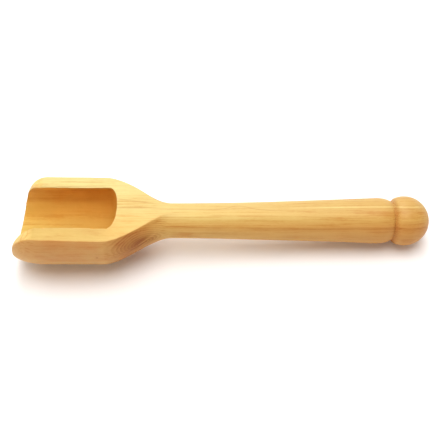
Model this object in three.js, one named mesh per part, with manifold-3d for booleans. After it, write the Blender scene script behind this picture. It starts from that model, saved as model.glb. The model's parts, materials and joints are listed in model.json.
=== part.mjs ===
// A salt spoon turned from one piece of pale wood: a bored scoop, a neck, a handle and a ball end.
import * as THREE from "three";
import { mergeVertices } from "three/addons/utils/BufferGeometryUtils.js";
import Module from "manifold-3d";

// Driving dimensions in millimetres. Places along the spoon are measured on its turning axis
// from the mouth, where the axis meets the mouth's plane.
const HEAD_DIAMETER = 38.0;
const HEAD_LENGTH = 35.7; // mouth to the start of the shoulder
const SHOULDER_LENGTH = 29.1; // head to neck
const NECK_DIAMETER = 14.6;
const HANDLE_LENGTH = 88.0; // neck to the widest place of the handle
const HANDLE_END_DIAMETER = 19.8;
const HANDLE_END_ROUNDING = 6.5; // length of the rounded end, down to the groove
const GROOVE_DEPTH = 1.7; // below the handle's widest place
const GROOVE_WALL_LENGTH = 1.4; // steep wall on the ball's side
const BALL_DIAMETER = 21.4;
const BALL_LENGTH = 16.4; // groove to the end of the spoon
const WALL_THICKNESS = 5.5; // wood left around the bore
const BORE_OVERRUN = 5.7; // the bore runs on past the start of the shoulder
const BORE_CORNER_RADIUS = 4.7;
const LIP_EDGE_WIDTH = 0.3; // narrow ring left at the tip of the lip
const LIP_ROUNDING_LENGTH = 11.2; // how far back the outside of the lip is rounded
const MOUTH_LEAN = THREE.MathUtils.degToRad(10.6); // the rim is set back behind the floor's lip
const MOUTH_SKEW = THREE.MathUtils.degToRad(5.2); // one cheek is sanded shorter than the other
const FLAT_HEIGHT = 8.7; // flat above the axis, at the mouth
const FLAT_RUNOUT = 0.1; // flat above the neck, where it fades out
const RIM_CORNER_RADIUS = 11.0; // rounded corner between the flat and the mouth

// Shape of the curves, as shares of their own length.
const LIP_FULLNESS = 0.45;
const SHOULDER_EASE = 0.36;
const HANDLE_EASE = 0.33;
const HANDLE_END_FLARE = 0.04; // slope of the handle where it is widest
const HANDLE_END_FULLNESS = 0.7;

// Fineness of the facets, and how close two corners are before they are one.
const TURNED_SIDES = 48;
const BORED_SIDES = 40;
const CURVE_STEPS = 8;
const SAME_CORNER = 0.0001;

// The search for the tilt of the lying spoon.
const STEEPEST_TILT = THREE.MathUtils.degToRad(20);
const TILT_STEPS = 50;

const HEAD_RADIUS = HEAD_DIAMETER / 2;
const NECK_RADIUS = NECK_DIAMETER / 2;
const HANDLE_END_RADIUS = HANDLE_END_DIAMETER / 2;
const GROOVE_RADIUS = HANDLE_END_RADIUS - GROOVE_DEPTH;
const BALL_RADIUS = BALL_DIAMETER / 2;
const BORE_RADIUS = HEAD_RADIUS - WALL_THICKNESS;
const BORE_DEPTH = HEAD_LENGTH + BORE_OVERRUN;

const NECK_PLACE = HEAD_LENGTH + SHOULDER_LENGTH;
const HANDLE_END_PLACE = NECK_PLACE + HANDLE_LENGTH;
const GROOVE_PLACE = HANDLE_END_PLACE + HANDLE_END_ROUNDING;
const BALL_PLACE = GROOVE_PLACE + BALL_LENGTH - BALL_RADIUS;

const wasm = await Module();
wasm.setup();

// A closed solid, ready to be cut, from a geometry's surface.
function solidOf(geometry) {
  geometry.deleteAttribute("normal");
  geometry.deleteAttribute("uv");
  const merged = mergeVertices(geometry, SAME_CORNER);
  const mesh = new wasm.Mesh({
    numProp: merged.attributes.position.itemSize,
    vertProperties: new Float32Array(merged.attributes.position.array),
    triVerts: new Uint32Array(merged.index.array),
  });
  return new wasm.Manifold(mesh);
}

function geometryOf(solid) {
  const mesh = solid.getMesh();
  const geometry = new THREE.BufferGeometry();
  geometry.setAttribute("position", new THREE.BufferAttribute(mesh.vertProperties, mesh.numProp));
  geometry.setIndex(new THREE.BufferAttribute(mesh.triVerts, 1));
  geometry.computeVertexNormals();
  return geometry;
}

// Turns an outline of (radius, place) points about the X axis, with a side, not an edge, lowest.
function turned(outline, sides) {
  const points = outline.getPoints(CURVE_STEPS);
  const geometry = new THREE.LatheGeometry(points, sides, Math.PI / sides, 2 * Math.PI);
  return geometry.rotateZ(-Math.PI / 2);
}

// Rounded corner between the flat and the mouth, in the side view and before the mouth leans.
function rimCorner() {
  const corner = new THREE.Vector2(0, FLAT_HEIGHT);
  const neckEnd = new THREE.Vector2(NECK_PLACE, NECK_RADIUS + FLAT_RUNOUT);
  const alongFlat = neckEnd.clone().sub(corner).normalize();
  const downMouth = new THREE.Vector2(0, -1);
  const halfAngle = Math.acos(alongFlat.dot(downMouth)) / 2;
  const bisector = alongFlat.clone().add(downMouth).normalize();
  const reach = RIM_CORNER_RADIUS / Math.tan(halfAngle);
  return {
    neckEnd,
    centre: corner.clone().addScaledVector(bisector, RIM_CORNER_RADIUS / Math.sin(halfAngle)),
    onFlat: corner.clone().addScaledVector(alongFlat, reach),
    onMouth: corner.clone().addScaledVector(downMouth, reach),
  };
}

// Leans and skews the mouth: points in front of the rim's corner move along the axis with their
// height and side, most at the lip.
function leanMouth(geometry) {
  const fadeLength = rimCorner().onFlat.x;
  const position = geometry.attributes.position;
  for (let i = 0; i < position.count; i += 1) {
    const place = position.getX(i);
    const share = THREE.MathUtils.clamp(1 - place / fadeLength, 0, 1);
    const lean = Math.tan(MOUTH_LEAN) * position.getZ(i);
    const skew = Math.tan(MOUTH_SKEW) * position.getY(i);
    position.setX(i, place + share * (lean + skew));
  }
  return geometry;
}

// Half outline of the whole spoon before it is bored and cut flat.
function spoonOutline() {
  const tipRadius = BORE_RADIUS + LIP_EDGE_WIDTH;
  const outline = new THREE.Path();
  outline.moveTo(0, 0);
  outline.lineTo(tipRadius, 0);
  outline.bezierCurveTo(
    tipRadius + LIP_FULLNESS * (HEAD_RADIUS - tipRadius), 0,
    HEAD_RADIUS, (1 - LIP_FULLNESS) * LIP_ROUNDING_LENGTH,
    HEAD_RADIUS, LIP_ROUNDING_LENGTH,
  );
  outline.lineTo(HEAD_RADIUS, HEAD_LENGTH);
  const shoulderReach = SHOULDER_EASE * SHOULDER_LENGTH;
  outline.bezierCurveTo(
    HEAD_RADIUS, HEAD_LENGTH + shoulderReach,
    NECK_RADIUS, NECK_PLACE - shoulderReach,
    NECK_RADIUS, NECK_PLACE,
  );
  const handleReach = HANDLE_EASE * HANDLE_LENGTH;
  outline.bezierCurveTo(
    NECK_RADIUS, NECK_PLACE + handleReach,
    HANDLE_END_RADIUS - HANDLE_END_FLARE * handleReach, HANDLE_END_PLACE - handleReach,
    HANDLE_END_RADIUS, HANDLE_END_PLACE,
  );
  const roundingReach = HANDLE_END_FULLNESS * HANDLE_END_ROUNDING;
  outline.quadraticCurveTo(
    HANDLE_END_RADIUS, HANDLE_END_PLACE + roundingReach, GROOVE_RADIUS, GROOVE_PLACE,
  );
  const wallEnd = GROOVE_PLACE + GROOVE_WALL_LENGTH;
  const ballStart = Math.asin((wallEnd - BALL_PLACE) / BALL_RADIUS);
  outline.absarc(0, BALL_PLACE, BALL_RADIUS, ballStart, Math.PI / 2);
  return outline;
}

// Round-cornered bore of the scoop, run out past the mouth.
function boreOutline() {
  const outline = new THREE.Path();
  const cornerPlace = BORE_DEPTH - BORE_CORNER_RADIUS;
  outline.moveTo(0, -HEAD_RADIUS);
  outline.lineTo(BORE_RADIUS, -HEAD_RADIUS);
  outline.lineTo(BORE_RADIUS, cornerPlace);
  outline.absarc(BORE_RADIUS - BORE_CORNER_RADIUS, cornerPlace, BORE_CORNER_RADIUS, 0, Math.PI / 2);
  outline.lineTo(0, BORE_DEPTH);
  return outline;
}

// The wood that is sawn away above the flat: a side view drawn out over more than the head's width.
function sawnBlock() {
  const { neckEnd, centre, onFlat, onMouth } = rimCorner();
  const arcStart = onMouth.clone().sub(centre).angle();
  const arcEnd = onFlat.clone().sub(centre).angle();
  const side = new THREE.Shape();
  side.moveTo(neckEnd.x, neckEnd.y);
  side.lineTo(neckEnd.x, HEAD_DIAMETER);
  side.lineTo(-HEAD_RADIUS, HEAD_DIAMETER);
  side.lineTo(-HEAD_RADIUS, onMouth.y);
  side.absarc(centre.x, centre.y, RIM_CORNER_RADIUS, arcStart, arcEnd, true);
  const width = 2 * HEAD_DIAMETER;
  const geometry = new THREE.ExtrudeGeometry(side, {
    depth: width,
    bevelEnabled: false,
    curveSegments: CURVE_STEPS,
  });
  return geometry.rotateX(Math.PI / 2).translate(0, width / 2, 0);
}

// Tilt of the axis when the spoon lies on its belly and its ball.
function restTilt(outline) {
  const points = outline.getPoints(CURVE_STEPS);
  const belly = points.filter((point) => point.y < NECK_PLACE);
  const ball = points.filter((point) => point.y > GROOVE_PLACE);
  const reach = (part, tilt) =>
    Math.max(...part.map((point) => point.x * Math.cos(tilt) + point.y * Math.sin(tilt)));
  let low = 0;
  let high = STEEPEST_TILT;
  for (let i = 0; i < TILT_STEPS; i += 1) {
    const middle = (low + high) / 2;
    if (reach(belly, middle) > reach(ball, middle)) {
      low = middle;
    } else {
      high = middle;
    }
  }
  return low;
}

const outline = spoonOutline();
const blank = solidOf(leanMouth(turned(outline, TURNED_SIDES)));
const bore = solidOf(turned(boreOutline(), BORED_SIDES));
const sawnAway = solidOf(leanMouth(sawnBlock()));
const body = new THREE.Mesh(
  geometryOf(blank.subtract(bore).subtract(sawnAway)),
  new THREE.MeshStandardMaterial({ color: 0xd9a868, roughness: 0.55, metalness: 0 }),
);
body.name = "spoon_body";
body.rotation.y = restTilt(outline);

// The origin is on the table, below the middle of the lying spoon.
const spoon = new THREE.Group();
spoon.add(body);
const box = new THREE.Box3().setFromObject(spoon, true);
const middle = box.getCenter(new THREE.Vector3());
body.position.set(-middle.x, -middle.y, -box.min.z);

export default spoon;
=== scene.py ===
import json
import math
from collections import namedtuple
from types import SimpleNamespace

import bpy
from mathutils import Matrix, Vector


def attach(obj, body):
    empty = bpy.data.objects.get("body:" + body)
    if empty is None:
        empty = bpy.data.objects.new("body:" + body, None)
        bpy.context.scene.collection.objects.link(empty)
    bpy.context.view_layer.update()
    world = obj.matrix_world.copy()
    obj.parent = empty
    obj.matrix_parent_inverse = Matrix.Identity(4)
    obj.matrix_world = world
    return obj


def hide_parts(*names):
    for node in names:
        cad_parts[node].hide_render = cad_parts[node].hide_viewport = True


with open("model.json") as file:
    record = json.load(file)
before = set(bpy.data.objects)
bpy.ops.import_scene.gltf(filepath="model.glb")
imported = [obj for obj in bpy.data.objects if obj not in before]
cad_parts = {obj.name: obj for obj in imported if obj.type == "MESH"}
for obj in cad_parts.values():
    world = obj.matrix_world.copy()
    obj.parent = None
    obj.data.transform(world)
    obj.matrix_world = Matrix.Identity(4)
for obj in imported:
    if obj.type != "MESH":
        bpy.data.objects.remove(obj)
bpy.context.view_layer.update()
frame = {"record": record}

# Sizes of the turned spoon in metres, along its own axis from the mouth.
HEAD_LENGTH = 0.0357
SHOULDER_LENGTH = 0.0291
NECK_RADIUS = 0.0073
FLAT_HEIGHT = 0.0087
FLAT_RUNOUT = 0.0001
FLAT_FALL = (FLAT_HEIGHT - NECK_RADIUS - FLAT_RUNOUT) / (HEAD_LENGTH + SHOULDER_LENGTH)
MOUTH_LEAN = math.radians(10.6)
MOUTH_SKEW = math.radians(5.2)
SPOON_SIZES = {
    "Head Radius": 0.0190,
    "Head Length": HEAD_LENGTH,
    "Shoulder Length": SHOULDER_LENGTH,
    "Neck Radius": NECK_RADIUS,
    "Neck Fullness": 0.0005,
    "Far Shoulder Fullness": 0.0004,
    "Handle Length": 0.0880,
    "Handle End Radius": 0.0099,
    "Handle End Flare": 0.04,
    "Handle End Rounding": 0.0065,
    "Handle End Fullness": 0.7,
    "Groove Depth": 0.0017,
    "Groove Wall Length": 0.0014,
    "Ball Radius": 0.0107,
    "Ball Length": 0.0164,
    "Bore Radius": 0.0135,
    "Bore Depth": 0.0418,
    "Bore Skew": 0.015,
    "Bore Corner Width": 0.0090,
    "Bore Corner Length": 0.0041,
    "Near Wall Fullness": 0.0006,
    "Lip Edge Width": 0.0003,
    "Lip Rounding Length": 0.0112,
    "Lip Reach": 0.0003,
    "Far Lip Reach": 0.0005,
    "Lip Fullness": 1.80,
    "Lean Slope": math.tan(MOUTH_LEAN),
    "Skew Slope": math.tan(MOUTH_SKEW),
    "Flat Height": FLAT_HEIGHT,
    "Flat Fall": FLAT_FALL,
    "Lean Fade": 0.0110,
    "Rim Corner Radius": 0.0096,
    "Rim Softness": 0.00025,
    "Flat Softness": 0.0003,
    "Groove Softness": 0.0003,
    "Hand Finish": 0.00012,
    "Edge Wear": 0.0007,
    "Sanded Off": 0.00005,
    "Planed Off": 0.00015,
}

# Where hand work left the wood off the turned shape, in metres from the mouth, across or above the axis.
# A pair is a start and a length for what comes in slowly, a middle and a half width for a swelling, and
# for a way its parts across and above the axis.
HAND_WORK = SimpleNamespace(
    neck_starts=(0.046, 0.012),
    neck_ends=(0.098, 0.045),
    low_near_way=(0.79, 0.62),
    shoulder_swelling=(0.050, 0.006),
    shoulder_side=(0.0, 0.006),
    near_wall_starts=(0.006, 0.014),
    near_wall_side=(0.004, 0.006),
    far_lip_side=(-0.004, 0.008),
    far_lip_drop=(0.0005, 0.004),
    sanding_waves=220.0,
)

# The blank that the spoon is found in, and how finely its surface is found.
VOXEL = 0.00045
BLANK_LOW = Vector((-0.0075, -0.0205, -0.0205))
BLANK_HIGH = Vector((0.1775, 0.0205, 0.0110))
SURFACE_DENSITY = 1.0
DENSITY_REACH = 4 * VOXEL
SLOPE_REACH = VOXEL / 8
SETTLING_ROUNDS = 3

# Marks that are stored on the surface for the look of the wood.
CUTS = {"Edge": "edge_wear", "Sawn": "sawn_wood", "Bored": "bored_wood"}
END_GRAIN = "end_grain"

# The mount on the cut flat says how the spoon lies in the frame.
MOUNT_PLACE = 0.0500
flat_mount = frame["record"]["mounts"][0]
flat_normal = Vector(flat_mount["axis"])
REST_TILT = math.atan2(flat_normal.x, flat_normal.z) - math.atan(FLAT_FALL)
REST_TURN = Matrix.Rotation(REST_TILT, 4, "Y")
mount_on_spoon = Vector((MOUNT_PLACE, 0, FLAT_HEIGHT - FLAT_FALL * MOUNT_PLACE))
AXIS_START = Vector(flat_mount["pos_m"]) - REST_TURN @ mount_on_spoon
SPOON_TO_FRAME = Matrix.Translation(AXIS_START) @ REST_TURN


class Field:
    """A socket of a node tree. Maths written on it in Python adds Math nodes to the tree."""

    def __init__(self, tree, socket=None):
        self.tree = tree
        self.socket = socket

    def node(self, kind, settings=None, sockets=None, output=0):
        """Adds one node: its settings first, then the values or links of its sockets."""
        made = self.tree.nodes.new(kind)
        for name, setting in (settings or {}).items():
            setattr(made, name, setting)
        for name, value in (sockets or {}).items():
            if isinstance(value, Field):
                self.tree.links.new(value.socket, made.inputs[name])
            else:
                made.inputs[name].default_value = value
        return Field(self.tree, made.outputs[output] if made.outputs else None)

    def maths(self, operation, *values):
        return self.node("ShaderNodeMath", {"operation": operation}, dict(enumerate(values)))

    def vectors(self, operation, *values, output=0):
        sockets = dict(enumerate(values))
        return self.node("ShaderNodeVectorMath", {"operation": operation}, sockets, output)

    def split(self):
        """The three numbers of a vector."""
        first = self.node("ShaderNodeSeparateXYZ", {}, {0: self})
        return [Field(self.tree, socket) for socket in first.socket.node.outputs]

    def joined(self, x, y, z):
        """A vector of three numbers."""
        return self.node("ShaderNodeCombineXYZ", {}, {0: x, 1: y, 2: z})

    def __add__(self, other):
        return self.maths("ADD", self, other)

    def __radd__(self, other):
        return self.maths("ADD", other, self)

    def __sub__(self, other):
        return self.maths("SUBTRACT", self, other)

    def __rsub__(self, other):
        return self.maths("SUBTRACT", other, self)

    def __mul__(self, other):
        return self.maths("MULTIPLY", self, other)

    def __rmul__(self, other):
        return self.maths("MULTIPLY", other, self)

    def __truediv__(self, other):
        return self.maths("DIVIDE", self, other)

    def __rtruediv__(self, other):
        return self.maths("DIVIDE", other, self)

    def __pow__(self, other):
        return self.maths("POWER", self, other)

    def __neg__(self):
        return self * -1.0

    def __lt__(self, other):
        return self.maths("LESS_THAN", self, other)

    def at_most(self, other):
        return self.maths("MINIMUM", self, other)

    def at_least(self, other):
        return self.maths("MAXIMUM", self, other)

    def root(self):
        return self.maths("SQRT", self)

    def unsigned(self):
        return self.maths("ABSOLUTE", self)

    def past_whole(self):
        """What is left after the last whole number."""
        return self.maths("FRACT", self)

    def power_of_e(self):
        return self.maths("EXPONENT", self)

    def clamped(self):
        """Kept between 0 and 1."""
        return self.at_least(0.0).at_most(1.0)

    def share(self, start, length):
        """How far this is along a stretch, from 0 to 1."""
        return ((self - start) / length).clamped()

    def eased(self):
        """A share from 0 to 1 with soft ends."""
        return self * self * (3.0 - 2.0 * self)

    def bump(self, middle, width):
        """1 at a middle, fading to 0 over a width on both sides."""
        off = (self - middle) / width
        return (-(off * off)).power_of_e()


def long_side(one, other):
    """Length of the long side of a right-angled triangle."""
    return (one * one + other * other).root()


def soft_cut(body, knife, softness):
    """What is inside both, with the edge between them rounded."""
    past_body = (body + softness).at_least(0.0)
    past_knife = (knife + softness).at_least(0.0)
    return body.at_least(knife).at_most(-softness) + long_side(past_body, past_knife)


def new_tree(name, inputs, outputs):
    """An empty geometry tree, and a field for each of its inputs."""
    tree = bpy.data.node_groups.new(name, "GeometryNodeTree")
    for label, kind in inputs.items():
        tree.interface.new_socket(label, in_out="INPUT", socket_type=kind)
    for label, kind in outputs.items():
        tree.interface.new_socket(label, in_out="OUTPUT", socket_type=kind)
    entry = tree.nodes.new("NodeGroupInput")
    return tree, {label: Field(tree, entry.outputs[label]) for label in inputs}


def end_tree(first, results):
    """Links fields to the tree's outputs."""
    first.node("NodeGroupOutput", {}, results)


def add_object(name, data):
    """A new object in the scene, at the origin."""
    made = bpy.data.objects.new(name, data)
    bpy.context.scene.collection.objects.link(made)
    return made


def turned_radius(size, place):
    """Radius of the turned outline at a place, from the head to the stub inside the ball."""
    shoulder = place.share(size["Head Length"], size["Shoulder Length"]).eased()
    neck_place = size["Head Length"] + size["Shoulder Length"]
    along = place.share(neck_place, size["Handle Length"])
    swell = along.eased() * (size["Handle End Radius"] - size["Neck Radius"])
    flare = size["Handle Length"] * size["Handle End Flare"] * along * along * (along - 1.0)
    end = place.share(neck_place + size["Handle Length"], size["Handle End Rounding"])
    fullness = size["Handle End Fullness"]
    excess = 2.0 * fullness - 1.0
    bend = (fullness - (fullness * fullness - excess * end).root()) / excess
    waist = (size["Head Radius"] - size["Neck Radius"]) * shoulder
    return size["Head Radius"] - waist + swell + flare - size["Groove Depth"] * bend * bend


def uneven_radius(size, place, side, height):
    """Distance from the axis, shortened where the turned wood was left fuller by hand."""
    on_neck = place.share(*HAND_WORK.neck_starts).eased()
    on_neck = on_neck * (1.0 - place.share(*HAND_WORK.neck_ends).eased())
    radius = long_side(side, height)
    near, low = HAND_WORK.low_near_way
    low_near = (-(near * side + low * height) / radius).clamped().eased()
    neck = size["Neck Fullness"] * on_neck * low_near
    on_shoulder = place.bump(*HAND_WORK.shoulder_swelling)
    shoulder = size["Far Shoulder Fullness"] * on_shoulder * side.share(*HAND_WORK.shoulder_side)
    return radius - neck - shoulder


def place_on_stock(size, place, side, height):
    """Place along the stock, as it was before its mouth was leaned, skewed and sanded."""
    lean = size["Lean Slope"] * height + size["Skew Slope"] * side
    fade = size["Lean Fade"]
    straight = (place - lean) / (1.0 - lean / fade)
    on_far_lip = side.share(*HAND_WORK.far_lip_side) * (-height).share(*HAND_WORK.far_lip_drop)
    far_lip = size["Far Lip Reach"] * on_far_lip
    return place + (place < fade) * (straight - place) + far_lip * (1.0 - place.share(0.0, fade))


def turned_shaft(size, place, radius):
    """The turned spoon with its rounded lip, without its ball: negative inside the wood."""
    tip_radius = size["Bore Radius"] + size["Lip Edge Width"]
    lip_width = size["Head Radius"] - tip_radius
    out = radius + size["Head Radius"] - turned_radius(size, place) - tip_radius
    across = out.at_least(0.0) / lip_width
    lip_length = size["Lip Rounding Length"]
    ahead = (lip_length - place).at_least(0.0) / (lip_length + size["Lip Reach"])
    power = size["Lip Fullness"]
    return lip_width * ((across**power + ahead**power) ** (1.0 / power) - 1.0)


def turned_stock(size, place, radius):
    """The whole turned spoon with its groove and its ball: negative inside the wood."""
    shaft = turned_shaft(size, place, radius)
    neck_place = size["Head Length"] + size["Shoulder Length"]
    groove_place = neck_place + size["Handle Length"] + size["Handle End Rounding"]
    groove_radius = size["Handle End Radius"] - size["Groove Depth"]
    ball_radius = size["Ball Radius"]
    ball_place = groove_place + size["Ball Length"] - ball_radius
    ball = long_side(radius, place - ball_place) - ball_radius
    wall_reach = groove_place + size["Groove Wall Length"] - ball_place
    wall_radius = (ball_radius * ball_radius - wall_reach * wall_reach).root()
    wall_slope = (wall_radius - groove_radius) / size["Groove Wall Length"]
    wall = (radius - groove_radius - wall_slope * (place - groove_place)) / long_side(wall_slope, 1.0)
    ball = soft_cut(ball, wall, size["Groove Softness"])
    return shaft.at_least(place - ball_place).at_most(ball)


def bored_hollow(size, place, side, radius):
    """The bore with its domed end: negative inside the hollow. The near wall is left fuller inside."""
    width = size["Bore Corner Width"]
    length = size["Bore Corner Length"]
    across = (radius - size["Bore Radius"] + width).at_least(0.0) / width
    along = (place - size["Bore Depth"] - size["Bore Skew"] * side + length).at_least(0.0) / length
    inside = place.share(*HAND_WORK.near_wall_starts).eased()
    fuller = size["Near Wall Fullness"] * inside * (-side).share(*HAND_WORK.near_wall_side)
    return width * (long_side(across, along) - 1.0) + fuller


def sawn_flat(size, place, height):
    """The flat over the head and its round corner to the mouth: negative below the cut."""
    neck_place = size["Head Length"] + size["Shoulder Length"]
    level = size["Flat Height"] - size["Flat Fall"] * place.at_most(neck_place)
    past_neck = (place - neck_place).at_least(0.0)
    return soft_cut(height - level - past_neck, -place, size["Rim Corner Radius"])


def hand_sanding(point):
    """Small unevenness left by hand sanding, from -1 to 1."""
    sockets = {"Vector": point, "Scale": HAND_WORK.sanding_waves, "Detail": 1.0}
    return point.node("ShaderNodeTexNoise", {"noise_dimensions": "3D"}, sockets) * 2.0 - 1.0


def spoon_field():
    """A group that tells how far a point is outside the spoon, and which cut made the surface there."""
    inputs = {"Point": "NodeSocketVector"} | dict.fromkeys(SPOON_SIZES, "NodeSocketFloat")
    outputs = dict.fromkeys(["Outside", *CUTS], "NodeSocketFloat")
    tree, size = new_tree("spoon_field", inputs, outputs)
    point = size["Point"]
    place, side, height = point.split()
    radius = uneven_radius(size, place, side, height)
    stock_place = place_on_stock(size, place, side, height)
    stock = turned_stock(size, stock_place, radius)
    uneven = size["Hand Finish"] * hand_sanding(point)
    hollow = bored_hollow(size, place, side, radius) + uneven
    scoop = soft_cut(stock, -hollow, size["Rim Softness"])
    flat = sawn_flat(size, stock_place, height) + uneven + size["Planed Off"]
    outside = soft_cut(scoop, flat, size["Flat Softness"]) + size["Sanded Off"]
    rim = (stock.unsigned() + hollow.unsigned()).at_most(scoop.unsigned() + flat.unsigned())
    edge = (-rim / size["Edge Wear"]).power_of_e()
    blend = size["Rim Softness"]
    sawn = (flat - scoop).share(-blend, 2.0 * blend)
    bored = (-hollow - stock).share(-blend, 2.0 * blend) * (1.0 - sawn)
    end_tree(point, {"Outside": outside, "Edge": edge, "Sawn": sawn, "Bored": bored})
    return tree


def slope_at(point, outside):
    """The field at a point, and how steeply it rises along the three axes."""
    here = outside(point)
    steps = [outside(point.vectors("ADD", point, SLOPE_REACH * axis)) for axis in Matrix.Identity(3)]
    return here, point.joined(*[(step - here) / SLOPE_REACH for step in steps])


def settled(surface, outside):
    """Moves a rough surface onto the place where the field is nought."""
    here, slope = slope_at(surface.node("GeometryNodeInputPosition"), outside)
    steepness = slope.vectors("DOT_PRODUCT", slope, slope, output=1)
    sockets = {0: slope, "Scale": -here / steepness}
    move = slope.node("ShaderNodeVectorMath", {"operation": "SCALE"}, sockets)
    return surface.node("GeometryNodeSetPosition", {}, {"Geometry": surface, "Offset": move})


def found_surface(point, outside):
    """The spoon's surface, found in the blank and settled onto the field."""
    cells = [round(extent / VOXEL) for extent in BLANK_HIGH - BLANK_LOW]
    blank = point.node(
        "GeometryNodeVolumeCube",
        {},
        {
            "Density": SURFACE_DENSITY - outside(point) / DENSITY_REACH,
            "Min": BLANK_LOW,
            "Max": BLANK_HIGH,
            "Resolution X": cells[0],
            "Resolution Y": cells[1],
            "Resolution Z": cells[2],
        },
    )
    surface = blank.node(
        "GeometryNodeVolumeToMesh",
        {"resolution_mode": "GRID"},
        {"Volume": blank, "Threshold": SURFACE_DENSITY},
    )
    for _ in range(SETTLING_ROUNDS):
        surface = settled(surface, outside)
    return surface.node("GeometryNodeSetShadeSmooth", {}, {"Geometry": surface})


def spoon_tree(finish):
    """The whole spoon from its sizes: a field, its surface, and its place in the frame."""
    inputs = dict.fromkeys(SPOON_SIZES, "NodeSocketFloat")
    tree, size = new_tree("turned_spoon", inputs, {"Geometry": "NodeSocketGeometry"})
    field = spoon_field()

    def outside(point, output="Outside"):
        return point.node("GeometryNodeGroup", {"node_tree": field}, {"Point": point} | size, output)

    point = Field(tree).node("GeometryNodeInputPosition")
    surface = found_surface(point, outside)
    slope = slope_at(point, outside)[1]
    surface = surface.node(
        "GeometryNodeSetMeshNormal",
        {"mode": "TANGENT_SPACE", "domain": "POINT"},
        {"Mesh": surface, "Custom Normal": slope.vectors("NORMALIZE", slope)},
    )
    facing = point.node("GeometryNodeInputNormal").split()[0]
    marks = {label: outside(point, output) for output, label in CUTS.items()}
    for label, value in ({END_GRAIN: facing.unsigned()} | marks).items():
        surface = surface.node(
            "GeometryNodeStoreNamedAttribute",
            {"data_type": "FLOAT", "domain": "POINT"},
            {"Geometry": surface, "Name": label, "Value": value},
        )
    surface = surface.node(
        "GeometryNodeTransform",
        {},
        {"Geometry": surface, "Translation": AXIS_START, "Rotation": REST_TURN.to_euler()},
    )
    surface = surface.node("GeometryNodeRealizeInstances", {}, {"Geometry": surface})
    surface = surface.node("GeometryNodeSetMaterial", {}, {"Geometry": surface, "Material": finish})
    end_tree(surface, {"Geometry": surface})
    return tree


def turned_spoon(finish):
    """The spoon as a plain mesh."""
    maker = add_object("spoon_maker", bpy.data.meshes.new("spoon_maker"))
    modifier = maker.modifiers.new("turned_spoon", "NODES")
    modifier.node_group = spoon_tree(finish)
    for socket in modifier.node_group.interface.items_tree:
        if socket.in_out == "INPUT":
            modifier[socket.identifier] = SPOON_SIZES[socket.name]
    graph = bpy.context.evaluated_depsgraph_get()
    mesh = bpy.data.meshes.new_from_object(maker.evaluated_get(graph), depsgraph=graph)
    bpy.data.objects.remove(maker)
    return add_object("turned_wooden_spoon", mesh)


def new_material(name):
    """An empty node material and its first field."""
    material = bpy.data.materials.new(name)
    material.use_nodes = True
    material.node_tree.nodes.clear()
    return material, Field(material.node_tree)


# The wood, in millimetres on the spoon's own axes. The growth rings run around a pith line beside the
# axis, and a ring is told by its distance from that line. A pair is a start and a length for what comes
# in slowly, a middle and a half width for what is only there, and for a way its parts across and above
# the axis.
MILLIMETRE = 0.001
PITH_SIDE = -12.04
PITH_HEIGHT = -0.7

# Unevenness of the wood: waves per millimetre along three axes, and how much detail they have.
# Bands and threads follow the rings, so their axes are the place, the ring and the side.
Unevenness = namedtuple("Unevenness", "waves detail")
WANDER = Unevenness(waves=(0.022, 0.09, 0.09), detail=2.0)
FIBRE = Unevenness(waves=(0.045, 1.6, 1.6), detail=3.0)
CLOUD = Unevenness(waves=(0.10, 0.22, 0.22), detail=2.0)
FLECK = Unevenness(waves=(0.55, 3.4, 3.4), detail=1.0)
BAND = Unevenness(waves=(0.014, 1.2, 0.05), detail=2.0)
THREAD = Unevenness(waves=(0.011, 0.60, 0.09), detail=1.0)

REGIONS = SimpleNamespace(
    head_ends=(34.0, 14.0),
    shoulder_starts=(20.0, 10.0),
    shoulder_ends=(64.0, 8.0),
    handle_starts=(60.0, 15.0),
    ball_starts=(158.0, 3.0),
    flank_side=(8.0, 5.0),
    nose_ends=(1.0, 12.0),
    cut_across=(0.08, 0.40),
)
RINGS = SimpleNamespace(
    spacing=0.62,
    lean=0.35,
    wander=1.6,
    peak=9.5,
    faint=0.16,
    faint_clouds=1.5,
    ball_end=0.5,
    ball_end_face=(0.75, 0.2),
    far_fade=0.65,
    far_side=(-6.0, 10.0),
    clear=0.7,
    clouds=2.2,
    faintest=0.1,
)
OUTWARDS = SimpleNamespace(
    heart_ends=(6.5, 9.0),
    outer_starts=(18.0, 8.0),
    outer_from_mouth=(2.0, 9.0),
    handle_step=5.0,
    handle_paleness=0.8,
    between=0.7,
    between_rings=(11.5, 2.4),
)
# Where painted light and shade lie on the head: a shaded near rim, lit corners, a shaded flank and its lit
# nose.
HEAD = SimpleNamespace(
    near_rim_side=(5.0, 4.0),
    corner_face=(0.06, 0.45),
    flank_rise=(-8.0, 16.0),
    flank_clouds=2.2,
    nose=0.8,
)
# Painted shade in the bore: darker to the near side, to the end, and on the far wall by the mouth.
BORE = SimpleNamespace(
    wall_side=(4.0, 7.0),
    darkness=0.52,
    less_to_far_side=0.055,
    more_to_end=0.014,
    front=5.0,
    far_mouth=0.50,
    far_mouth_side=(11.2, 2.2),
    far_mouth_place=(0.0, 9.0),
)
GRAIN = SimpleNamespace(
    thread_width=0.04,
    thread_clouds=1.6,
    fewer_threads_in_bore=0.6,
    fewer_threads_on_flank=0.5,
    fewer_bands_on_flank=0.4,
    band=1.4,
    thread=0.75,
    fibre=1.5,
    fleck=1.0,
    cloud=1.2,
    middle=0.14,
)
PALE = SimpleNamespace(worn_edge=0.25, grain=0.7, most=0.8, less_in_bore=0.7)
LIGHT_STREAK = SimpleNamespace(
    ring=(15.74, 0.24),
    slope=0.015,
    level_from=153.0,
    above_axis=(0.0, 4.0),
    starts=(112.0, 18.0),
    ends=(169.0, 5.0),
    end_fade=0.95,
)
# Where the far and low side of the turned wood gets painted shade.
FAR_FLANK = SimpleNamespace(way=(0.62, -0.79), starts=(1.0, 8.0), most=0.8)
# Painted shade darkens the wood along the handle towards the ball, where the lamps' light falls off.
FALLOFF_SHADE_STARTS = (45.0, 120.0)
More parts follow.
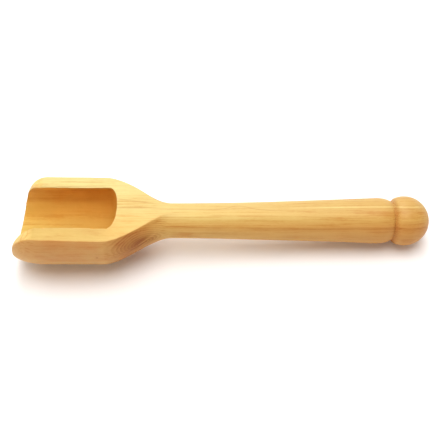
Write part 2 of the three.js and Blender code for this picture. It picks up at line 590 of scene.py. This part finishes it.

# Places where wax and use have soaked in deeper, and painted shade in the groove.
SOAKED_AND_GROOVE_SHADE = SimpleNamespace(
    shoulder=0.72,
    shoulder_place=(48.0, 12.5),
    knot=0.7,
    knot_point=(34.2, -18.95, -1.33),
    knot_size=(0.0, 0.45),
    groove=0.40,
    groove_place=(159.6, 0.9),
    groove_flecks=3.5,
)

# The spot where the shoulder is cut through the pith: a dark round, and strokes that add to it or take
# from it. Both are placed up and across from the pith. A stroke has half a thickness and half a length.
PITH_ROUND = SimpleNamespace(dark=1.05, across=-0.4, up=1.0, size=(0.0, 3.0))
Stroke = namedtuple("Stroke", "up across slope thickness length dark")
PITH_STROKES = [
    Stroke(up=1.0, across=0.4, slope=0.7, thickness=0.42, length=2.2, dark=-1.20),
    Stroke(up=-1.0, across=0.3, slope=1.3, thickness=0.42, length=0.9, dark=-0.90),
    Stroke(up=2.3, across=0.4, slope=0.7, thickness=0.60, length=1.3, dark=0.40),
    Stroke(up=0.0, across=0.3, slope=1.0, thickness=0.45, length=1.2, dark=0.50),
    Stroke(up=-1.2, across=-1.9, slope=0.7, thickness=0.80, length=1.1, dark=0.45),
]

# Strong streaks that can be followed along this piece of wood: a ring, half a thickness, and how dark.
Streak = namedtuple("Streak", "ring width dark")
STREAK_WANDER = 0.35
FLAT_STREAK = Streak(ring=15.2, width=0.45, dark=0.60)
SLANTING_STREAK = Streak(ring=19.2, width=0.35, dark=0.50)
SLANT = SimpleNamespace(slope=-0.133, start=42.0)
FLAT_STREAKS_START = (40.0, 3.0)
FLAT_STREAKS_END = (52.0, 8.0)
WAVY_STREAK = Streak(ring=14.6, width=0.20, dark=0.55)
WAVE = SimpleNamespace(out=1.6, out_place=(93.0, 5.0), back=-0.5, back_place=(109.0, 6.0))
WAVY_STREAK_STARTS = (54.0, 8.0)
WAVY_STREAK_ENDS = (106.0, 8.0)
LOW_STREAK = Streak(ring=6.35, width=0.16, dark=0.30)
LOW_STREAK_SHADE = Streak(ring=6.15, width=0.9, dark=0.34)
LOW_STREAK_BEND = SimpleNamespace(neck=0.80, neck_ends=(68.0, 28.0), end=0.75, end_starts=(126.0, 18.0))
LOW_STREAK_STARTS = (56.0, 8.0)
LOW_STREAK_GAP = SimpleNamespace(depth=0.85, place=(91.0, 6.0))
BORE_STREAK = Streak(ring=25.45, width=0.25, dark=0.55)
BORE_STREAK_ENDS = (30.0, 8.0)

# Colours of the wood by where it lies and how it was cut.
OUTER_WOOD = (0.655, 0.525, 0.188, 1.0)
OUTER_TURNED = (0.66, 0.440, 0.135, 1.0)
SAPWOOD = (0.665, 0.485, 0.156, 1.0)
HEARTWOOD = (0.745, 0.445, 0.118, 1.0)
BETWEEN_WOOD = (0.76, 0.560, 0.160, 1.0)
# Painted light: the mouth's rounded corners are lighter, as if lit from the left.
LIT_CORNER_WOOD = (0.80, 0.545, 0.170, 1.0)
# Painted shade: the near rim is darker than the far part of the flat, whose sheen is left off here.
SHADED_NEAR_RIM = (0.59, 0.370, 0.088, 1.0)
# Painted shade: the near flank is darker and redder, as the shaded flank; its nose is lighter, painted
# light.
SHADED_FLANK_UPPER = (0.69, 0.302, 0.075, 1.0)
SHADED_FLANK_LOWER = (0.68, 0.352, 0.101, 1.0)
LIT_FLANK_NOSE = (0.80, 0.430, 0.125, 1.0)
# Painted shade: the far and low side takes the shaded flank's darker, redder colour.
SHADED_FAR_SIDE = (0.68, 0.375, 0.108, 1.0)
# Painted shade: the bore is darker and more orange, as its shaded hollow.
SHADED_BORE_WALL = (0.95, 0.545, 0.104, 1.0)
SHADED_BORE_FLOOR = (0.74, 0.545, 0.135, 1.0)
BORE_DEEP_SHADE = (0.62, 0.290, 0.034, 1.0)
# Tints that multiply the colour under them.
LATE_TINT = (0.88, 0.70, 0.54, 1.0)
PALE_TINT = (1.08, 1.18, 1.36, 1.0)
LIGHT_TINT = (1.20, 1.50, 1.90, 1.0)
DARK_TINT = (0.80, 0.60, 0.46, 1.0)
# Painted shade: a darker tint towards the ball, for the lamps' falloff.
FALLOFF_SHADE_TINT = (0.87, 0.66, 0.52, 1.0)
# Soaked wood, and painted shade in the groove.
SOAKING_AND_SHADE_TINT = (0.62, 0.31, 0.05, 1.0)
RING_TINT = (0.80, 0.64, 0.48, 1.0)
PITH_TINT = (0.66, 0.47, 0.04, 1.0)

# The waxed surface.
RELIEF = SimpleNamespace(fibre=0.6, late=0.25, fleck=0.3, strength=0.25, depth=0.00006)
ROUGHNESS = SimpleNamespace(wood=0.50, fibre=0.16, fleck=0.10, worn_edge=-0.08, bored=0.25)
WAX = SimpleNamespace(weight=0.10, roughness=0.35, specular=0.25)


def noise(point, waves, detail):
    """Smooth unevenness from -0.5 to 0.5."""
    place = point.vectors("MULTIPLY", point, waves)
    sockets = {"Vector": place, "Scale": 1.0, "Detail": detail}
    return point.node("ShaderNodeTexNoise", {"noise_dimensions": "3D"}, sockets) - 0.5


def mixed(share, colour, other):
    """A colour that goes over to another one with a share."""
    return share.node("ShaderNodeMix", {"data_type": "RGBA"}, {0: share, 6: colour, 7: other}, 2)


def tinted(share, colour, tint):
    """A colour that is multiplied by a tint with a share."""
    settings = {"data_type": "RGBA", "blend_type": "MULTIPLY"}
    return share.node("ShaderNodeMix", settings, {0: share, 6: colour, 7: tint}, 2)


def stored(first, label):
    """A mark that was stored on the surface."""
    return first.node("ShaderNodeAttribute", {"attribute_name": label}, output="Fac")


def wood_spot(wood):
    """What the look of the wood depends on at a spot: its place, its cut, its ring and its unevenness."""
    point = wood.node(
        "ShaderNodeMapping",
        {"vector_type": "TEXTURE"},
        {
            "Vector": wood.node("ShaderNodeTexCoord", output="Object"),
            "Location": AXIS_START,
            "Rotation": REST_TURN.to_euler(),
            "Scale": (MILLIMETRE, MILLIMETRE, MILLIMETRE),
        },
    )
    spot = SimpleNamespace(point=point)
    spot.place, spot.side, spot.height = point.split()
    spot.end_grain = stored(wood, END_GRAIN)
    spot.edge = stored(wood, CUTS["Edge"])
    spot.sawn = stored(wood, CUTS["Sawn"])
    spot.bored = stored(wood, CUTS["Bored"])
    spot.beside_pith = spot.side - PITH_SIDE
    spot.above_pith = spot.height - PITH_HEIGHT
    spot.ring = long_side(spot.beside_pith, spot.above_pith)
    spot.wander = noise(point, *WANDER)
    spot.fibre = noise(point, *FIBRE)
    spot.cloud = noise(point, *CLOUD)
    spot.fleck = noise(point, *FLECK)
    on_rings = point.joined(spot.place, spot.ring, spot.side)
    spot.band = noise(on_rings, *BAND)
    spot.thread = noise(on_rings, *THREAD)
    return spot


def mark_regions(spot):
    """Adds how far a spot is on each part of the spoon, from 0 to 1."""
    spot.turned = (1.0 - spot.bored) * (1.0 - spot.sawn)
    spot.on_head = 1.0 - spot.place.share(*REGIONS.head_ends)
    spot.on_handle = spot.place.share(*REGIONS.handle_starts)
    spot.on_ball = spot.place.share(*REGIONS.ball_starts)
    shoulder = spot.place.share(*REGIONS.shoulder_starts) * (1.0 - spot.place.share(*REGIONS.shoulder_ends))
    spot.shoulder = spot.end_grain.share(*REGIONS.cut_across) * spot.turned * shoulder
    spot.flank = (-spot.side).share(*REGIONS.flank_side) * (1.0 - spot.sawn) * spot.on_head
    spot.nose = spot.flank * (1.0 - spot.place.share(*REGIONS.nose_ends))


def late_wood(spot):
    """The dark end of each year's growth, from 0 to 1."""
    turns = (spot.ring - RINGS.lean * spot.above_pith + RINGS.wander * spot.wander) / RINGS.spacing
    year = turns.past_whole()
    return RINGS.peak * year * year * year * (1.0 - year)


def cut_rings(spot, late):
    """Ring lines where the turning cuts across the rings: on the shoulder and on the end of the ball."""
    ball_end = RINGS.ball_end * spot.on_ball * spot.end_grain.share(*RINGS.ball_end_face)
    near = 1.0 - RINGS.far_fade * spot.side.share(*RINGS.far_side)
    patchy = (RINGS.clear + RINGS.clouds * spot.cloud).at_least(RINGS.faintest)
    return spot.shoulder.at_least(ball_end) * late * near * patchy


def outward_colour(spot):
    """The plain wood, from the heart by the pith to the pale outer wood."""
    outer = mixed(spot.sawn.at_least(OUTWARDS.handle_paleness * spot.on_handle), OUTER_TURNED, OUTER_WOOD)
    ring = spot.ring + OUTWARDS.handle_step * spot.on_handle
    outer_share = ring.share(*OUTWARDS.outer_starts) * spot.place.share(*OUTWARDS.outer_from_mouth)
    colour = mixed(outer_share, SAPWOOD, outer)
    colour = mixed(1.0 - spot.ring.share(*OUTWARDS.heart_ends).eased(), colour, HEARTWOOD)
    between = OUTWARDS.between * spot.ring.bump(*OUTWARDS.between_rings) * spot.on_handle
    return mixed(between, colour, BETWEEN_WOOD)


def bore_shade_colour(spot):
    """The inside of the scoop in painted shade: darker to the near side, to its end, and on the far wall by
    the mouth.
    """
    wall = mixed(spot.side.share(*BORE.wall_side), SHADED_BORE_FLOOR, SHADED_BORE_WALL)
    deep = BORE.darkness - BORE.less_to_far_side * spot.side + BORE.more_to_end * (spot.place - BORE.front)
    far_mouth = spot.side.bump(*BORE.far_mouth_side) * spot.place.bump(*BORE.far_mouth_place)
    return mixed((deep + BORE.far_mouth * far_mouth).clamped(), wall, BORE_DEEP_SHADE)


def head_colour(spot, colour):
    """Colours the head with painted shade on the near rim, the near flank and the bore, and painted light
    on the rim's corners and the flank's nose.
    """
    near_rim = (-spot.side).share(*HEAD.near_rim_side) * spot.sawn * spot.on_head
    colour = mixed(near_rim, colour, SHADED_NEAR_RIM)
    colour = mixed(spot.sawn * spot.end_grain.share(*HEAD.corner_face), colour, LIT_CORNER_WOOD)
    mottle = spot.height.share(*HEAD.flank_rise) + HEAD.flank_clouds * spot.cloud
    colour = mixed(spot.flank, colour, mixed(mottle.clamped(), SHADED_FLANK_LOWER, SHADED_FLANK_UPPER))
    colour = mixed(HEAD.nose * spot.nose, colour, LIT_FLANK_NOSE)
    return mixed(spot.bored, colour, bore_shade_colour(spot))


def far_flank_shade(spot):
    """How much of the far side's painted shade shows: on the turned wood, far and low."""
    far, up = FAR_FLANK.way
    far_low = (far * spot.side + up * spot.height).share(*FAR_FLANK.starts)
    return FAR_FLANK.most * (far_low * spot.turned)


def grain_of(spot, late):
    """How dark the grain is at a spot. Below 0 it is paler than the plain wood."""
    thread = (1.0 - spot.thread.unsigned() / GRAIN.thread_width).at_least(0.0)
    thread = thread * (1.0 + GRAIN.thread_clouds * spot.cloud)
    fewer = (GRAIN.fewer_threads_in_bore * spot.bored).at_least(spot.nose)
    thread = thread * (1.0 - fewer.at_least(GRAIN.fewer_threads_on_flank * spot.flank))
    band = spot.band * (1.0 - spot.nose.at_least(GRAIN.fewer_bands_on_flank * spot.flank))
    lines = late + GRAIN.band * band + GRAIN.thread * thread
    specks = GRAIN.fibre * spot.fibre + GRAIN.fleck * spot.fleck
    return lines + specks + GRAIN.cloud * spot.cloud - GRAIN.middle


def light_streak(spot):
    """The pale line along the top of the handle, which fades out on the ball."""
    ring = spot.ring - LIGHT_STREAK.slope * (spot.place - LIGHT_STREAK.level_from).at_most(0.0)
    on_top = spot.height.share(*LIGHT_STREAK.above_axis) * spot.place.share(*LIGHT_STREAK.starts)
    fade = 1.0 - LIGHT_STREAK.end_fade * spot.place.share(*LIGHT_STREAK.ends)
    return ring.bump(*LIGHT_STREAK.ring) * on_top * fade


def soaked_places_and_groove_shade(spot):
    """The shoulder's soaked end grain, a pin knot on the flank, and painted shade in the groove."""
    shoulder = SOAKED_AND_GROOVE_SHADE.shoulder * spot.place.bump(*SOAKED_AND_GROOVE_SHADE.shoulder_place) * spot.shoulder
    from_knot = spot.point.vectors("DISTANCE", spot.point, SOAKED_AND_GROOVE_SHADE.knot_point, output=1)
    knot = SOAKED_AND_GROOVE_SHADE.knot * from_knot.bump(*SOAKED_AND_GROOVE_SHADE.knot_size)
    patchy = 1.0 + SOAKED_AND_GROOVE_SHADE.groove_flecks * spot.fleck
    groove = SOAKED_AND_GROOVE_SHADE.groove * spot.place.bump(*SOAKED_AND_GROOVE_SHADE.groove_place) * patchy
    return (shoulder + knot + groove).at_most(1.0)


def pith_spot(spot):
    """The dark spot on the shoulder, where the turning cut through the pith."""
    off = long_side(spot.beside_pith - PITH_ROUND.across, spot.above_pith - PITH_ROUND.up)
    dark = PITH_ROUND.dark * off.bump(*PITH_ROUND.size)
    for stroke in PITH_STROKES:
        along = spot.beside_pith - stroke.across
        over = (spot.above_pith - stroke.slope * along).bump(stroke.up, stroke.thickness)
        dark = dark + stroke.dark * (over * along.bump(0.0, stroke.length))
    return (spot.shoulder * dark).clamped()


def dark_streaks(spot):
    """The few strong streaks that can be followed along this piece of wood."""
    place = spot.place
    ring = spot.ring + STREAK_WANDER * spot.wander

    def streak(kind, bend=0.0):
        return kind.dark * ring.bump(kind.ring + bend, kind.width)

    on_flat = place.share(*FLAT_STREAKS_START) * (1.0 - place.share(*FLAT_STREAKS_END))
    slant = SLANT.slope * (place - SLANT.start)
    flat = (streak(FLAT_STREAK) + streak(SLANTING_STREAK, slant)) * on_flat
    wave = WAVE.out * place.bump(*WAVE.out_place) + WAVE.back * place.bump(*WAVE.back_place)
    on_handle = place.share(*WAVY_STREAK_STARTS) * (1.0 - place.share(*WAVY_STREAK_ENDS))
    wavy = streak(WAVY_STREAK, wave) * on_handle
    bend = LOW_STREAK_BEND.neck * (1.0 - place.share(*LOW_STREAK_BEND.neck_ends))
    bend = bend + LOW_STREAK_BEND.end * place.share(*LOW_STREAK_BEND.end_starts)
    low = streak(LOW_STREAK, bend) + streak(LOW_STREAK_SHADE, bend)
    gap = 1.0 - LOW_STREAK_GAP.depth * place.bump(*LOW_STREAK_GAP.place)
    low = low * place.share(*LOW_STREAK_STARTS) * gap
    in_bore = streak(BORE_STREAK) * (1.0 - place.share(*BORE_STREAK_ENDS))
    return (flat + wavy + low + in_bore).at_most(1.0)


def wood_colour(spot, late, faint_late):
    """The colour of the wood: its plain colours with painted light and shade, then its grain, then its
    marks.
    """
    colour = head_colour(spot, outward_colour(spot))
    # Painted shade on the far and low side.
    colour = mixed(far_flank_shade(spot), colour, SHADED_FAR_SIDE)
    # Painted shade towards the ball end.
    colour = tinted(spot.place.share(*FALLOFF_SHADE_STARTS), colour, FALLOFF_SHADE_TINT)
    grain = grain_of(spot, faint_late)
    colour = tinted(grain.clamped(), colour, LATE_TINT)
    pale_grain = (-PALE.grain * grain).at_most(PALE.most) * (1.0 - PALE.less_in_bore * spot.bored)
    pale = (PALE.worn_edge * spot.edge * spot.sawn).at_least(pale_grain)
    colour = tinted(pale, colour, PALE_TINT)
    colour = tinted(light_streak(spot), colour, LIGHT_TINT)
    # Soaked wood, and painted shade in the groove.
    colour = tinted(soaked_places_and_groove_shade(spot), colour, SOAKING_AND_SHADE_TINT)
    colour = tinted(pith_spot(spot), colour, PITH_TINT)
    colour = tinted(dark_streaks(spot), colour, DARK_TINT)
    return tinted(cut_rings(spot, late), colour, RING_TINT)


def waxed_wood():
    """Pale close-grained wood, sanded fine and waxed."""
    material, wood = new_material("waxed_wood")
    spot = wood_spot(wood)
    mark_regions(spot)
    late = late_wood(spot)
    faint_late = RINGS.faint * late * (1.0 - spot.on_ball) * (1.0 + RINGS.faint_clouds * spot.cloud)
    relief = RELIEF.fibre * spot.fibre + RELIEF.late * faint_late + RELIEF.fleck * spot.fleck
    roughness = ROUGHNESS.wood + ROUGHNESS.fibre * spot.fibre + ROUGHNESS.fleck * spot.fleck
    roughness = roughness + ROUGHNESS.worn_edge * spot.edge + ROUGHNESS.bored * spot.bored
    bump = wood.node(
        "ShaderNodeBump",
        {},
        {"Strength": RELIEF.strength, "Distance": RELIEF.depth, "Height": relief},
    )
    shader = wood.node(
        "ShaderNodeBsdfPrincipled",
        {},
        {
            "Base Color": wood_colour(spot, late, faint_late),
            "Roughness": roughness,
            "Normal": bump,
            "Specular IOR Level": WAX.specular,
            "Coat Weight": WAX.weight - WAX.weight * spot.bored,
            "Coat Roughness": WAX.roughness,
        },
    )
    wood.node("ShaderNodeOutputMaterial", {}, {"Surface": shader})
    return material


# The studio, in metres and watts.
FLOOR_HALF = 3.0
FLOOR_PAPER = (0.95, 0.95, 0.95, 1.0)
# Painted light: a warm glow on the floor as it is seen, which lifts the spoon's shadow.
FLOOR_GLOW = (1.0, 0.64, 0.44, 1.0)
FLOOR_GLOW_STRENGTH = 0.093
WHITE = (1.0, 1.0, 1.0, 1.0)
WHITE_STARTS = (0.20, 0.25)
ROOM_LIGHT = 0.24
BACKDROP_LIGHT = 1.0
Softbox = namedtuple("Softbox", "name place width watts")
SOFTBOXES = [
    Softbox("top_softbox", place=(0.0, 0.0, 0.72), width=0.66, watts=4.85),
    Softbox("back_softbox", place=(0.0, 0.60, 0.60), width=0.5, watts=2.45),
    Softbox("left_softbox", place=(-0.55, 0.25, 0.50), width=0.5, watts=1.05),
    Softbox("right_softbox", place=(0.55, 0.25, 0.50), width=0.5, watts=0.6),
]


def backdrop_rays(first):
    """1 for the rays that show the backdrop: the camera's own, and those that gloss or glass sends on."""
    kinds = ["Is Camera Ray", "Is Glossy Ray", "Is Transmission Ray"]
    camera, gloss, glass = [first.node("ShaderNodeLightPath", output=kind) for kind in kinds]
    return camera.at_least(gloss).at_least(glass)


def white_floor():
    """A pale floor that keeps the shadow, lifted by a painted warm glow, and goes over to plain white far
    from the spoon.
    """
    material, floor = new_material("white_floor")
    paper = floor.node("ShaderNodeBsdfDiffuse", {}, {"Color": FLOOR_PAPER})
    glow = floor.node("ShaderNodeEmission", {}, {"Color": FLOOR_GLOW, "Strength": FLOOR_GLOW_STRENGTH})
    white = floor.node("ShaderNodeEmission", {}, {"Color": WHITE, "Strength": BACKDROP_LIGHT})
    lifted = floor.node("ShaderNodeAddShader", {}, {0: paper, 1: glow})
    seen = backdrop_rays(floor)
    point = floor.node("ShaderNodeTexCoord", output="Object")
    far = point.vectors("LENGTH", point, output=1).share(*WHITE_STARTS).eased()
    near_floor = floor.node("ShaderNodeMixShader", {}, {0: seen, 1: paper, 2: lifted})
    shader = floor.node("ShaderNodeMixShader", {}, {0: seen * far, 1: near_floor, 2: white})
    floor.node("ShaderNodeOutputMaterial", {}, {"Surface": shader})
    return material


def make_floor():
    mesh = bpy.data.meshes.new("floor")
    corners = [(-1, -1), (1, -1), (1, 1), (-1, 1)]
    mesh.from_pydata([(FLOOR_HALF * x, FLOOR_HALF * y, 0.0) for x, y in corners], [], [(0, 1, 2, 3)])
    mesh.materials.append(white_floor())
    add_object("floor", mesh)


def make_softbox(softbox):
    """A round soft lamp that looks at the middle of the floor."""
    light = bpy.data.lights.new(softbox.name, "AREA")
    light.shape = "DISK"
    light.size = softbox.width
    light.energy = softbox.watts
    lamp = add_object(softbox.name, light)
    lamp.location = softbox.place
    lamp.rotation_euler = (-Vector(softbox.place)).to_track_quat("-Z", "Y").to_euler()


def make_room():
    """Even light from all around, in front of a plain white backdrop."""
    world = bpy.data.worlds.new("studio")
    world.use_nodes = True
    world.node_tree.nodes.clear()
    room = Field(world.node_tree)
    light = room.node("ShaderNodeBackground", {}, {"Color": WHITE, "Strength": ROOM_LIGHT})
    backdrop = room.node("ShaderNodeBackground", {}, {"Color": WHITE, "Strength": BACKDROP_LIGHT})
    studio = room.node("ShaderNodeMixShader", {}, {0: backdrop_rays(room), 1: light, 2: backdrop})
    room.node("ShaderNodeOutputWorld", {}, {"Surface": studio})
    bpy.context.scene.world = world


# The camera, from the spoon's own axes: it looks at a place on the axis from the near side.
FRAME_PIXELS = 440
FOCAL_PIXELS = 717.9
SENSOR_WIDTH = 36.0
CLIP_START = 0.01
CAMERA_PLACE = 0.08534
CAMERA_RISE = 0.0001
CAMERA_DISTANCE = 0.3087
CAMERA_ELEVATION = math.radians(51.82)
CAMERA_AZIMUTH = math.radians(-3.41)
CAMERA_ROLL = math.radians(2.84)


def make_camera():
    data = bpy.data.cameras.new("camera")
    data.sensor_width = SENSOR_WIDTH
    data.lens = SENSOR_WIDTH * FOCAL_PIXELS / FRAME_PIXELS
    data.clip_start = CLIP_START
    camera = add_object("camera", data)
    turn = Matrix.Rotation(CAMERA_AZIMUTH, 4, "Z")
    nod = Matrix.Rotation(math.pi / 2 - CAMERA_ELEVATION, 4, "X")
    roll = Matrix.Rotation(CAMERA_ROLL, 4, "Z")
    target = Matrix.Translation((CAMERA_PLACE, 0, 0))
    back = Matrix.Translation((0, CAMERA_RISE, CAMERA_DISTANCE))
    camera.matrix_world = SPOON_TO_FRAME @ target @ turn @ nod @ roll @ back
    bpy.context.scene.camera = camera


spoon = turned_spoon(waxed_wood())
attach(spoon, "root")
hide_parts("spoon_body")

make_floor()
for softbox in SOFTBOXES:
    make_softbox(softbox)
make_room()
make_camera()
bpy.context.scene.view_settings.view_transform = "Standard"
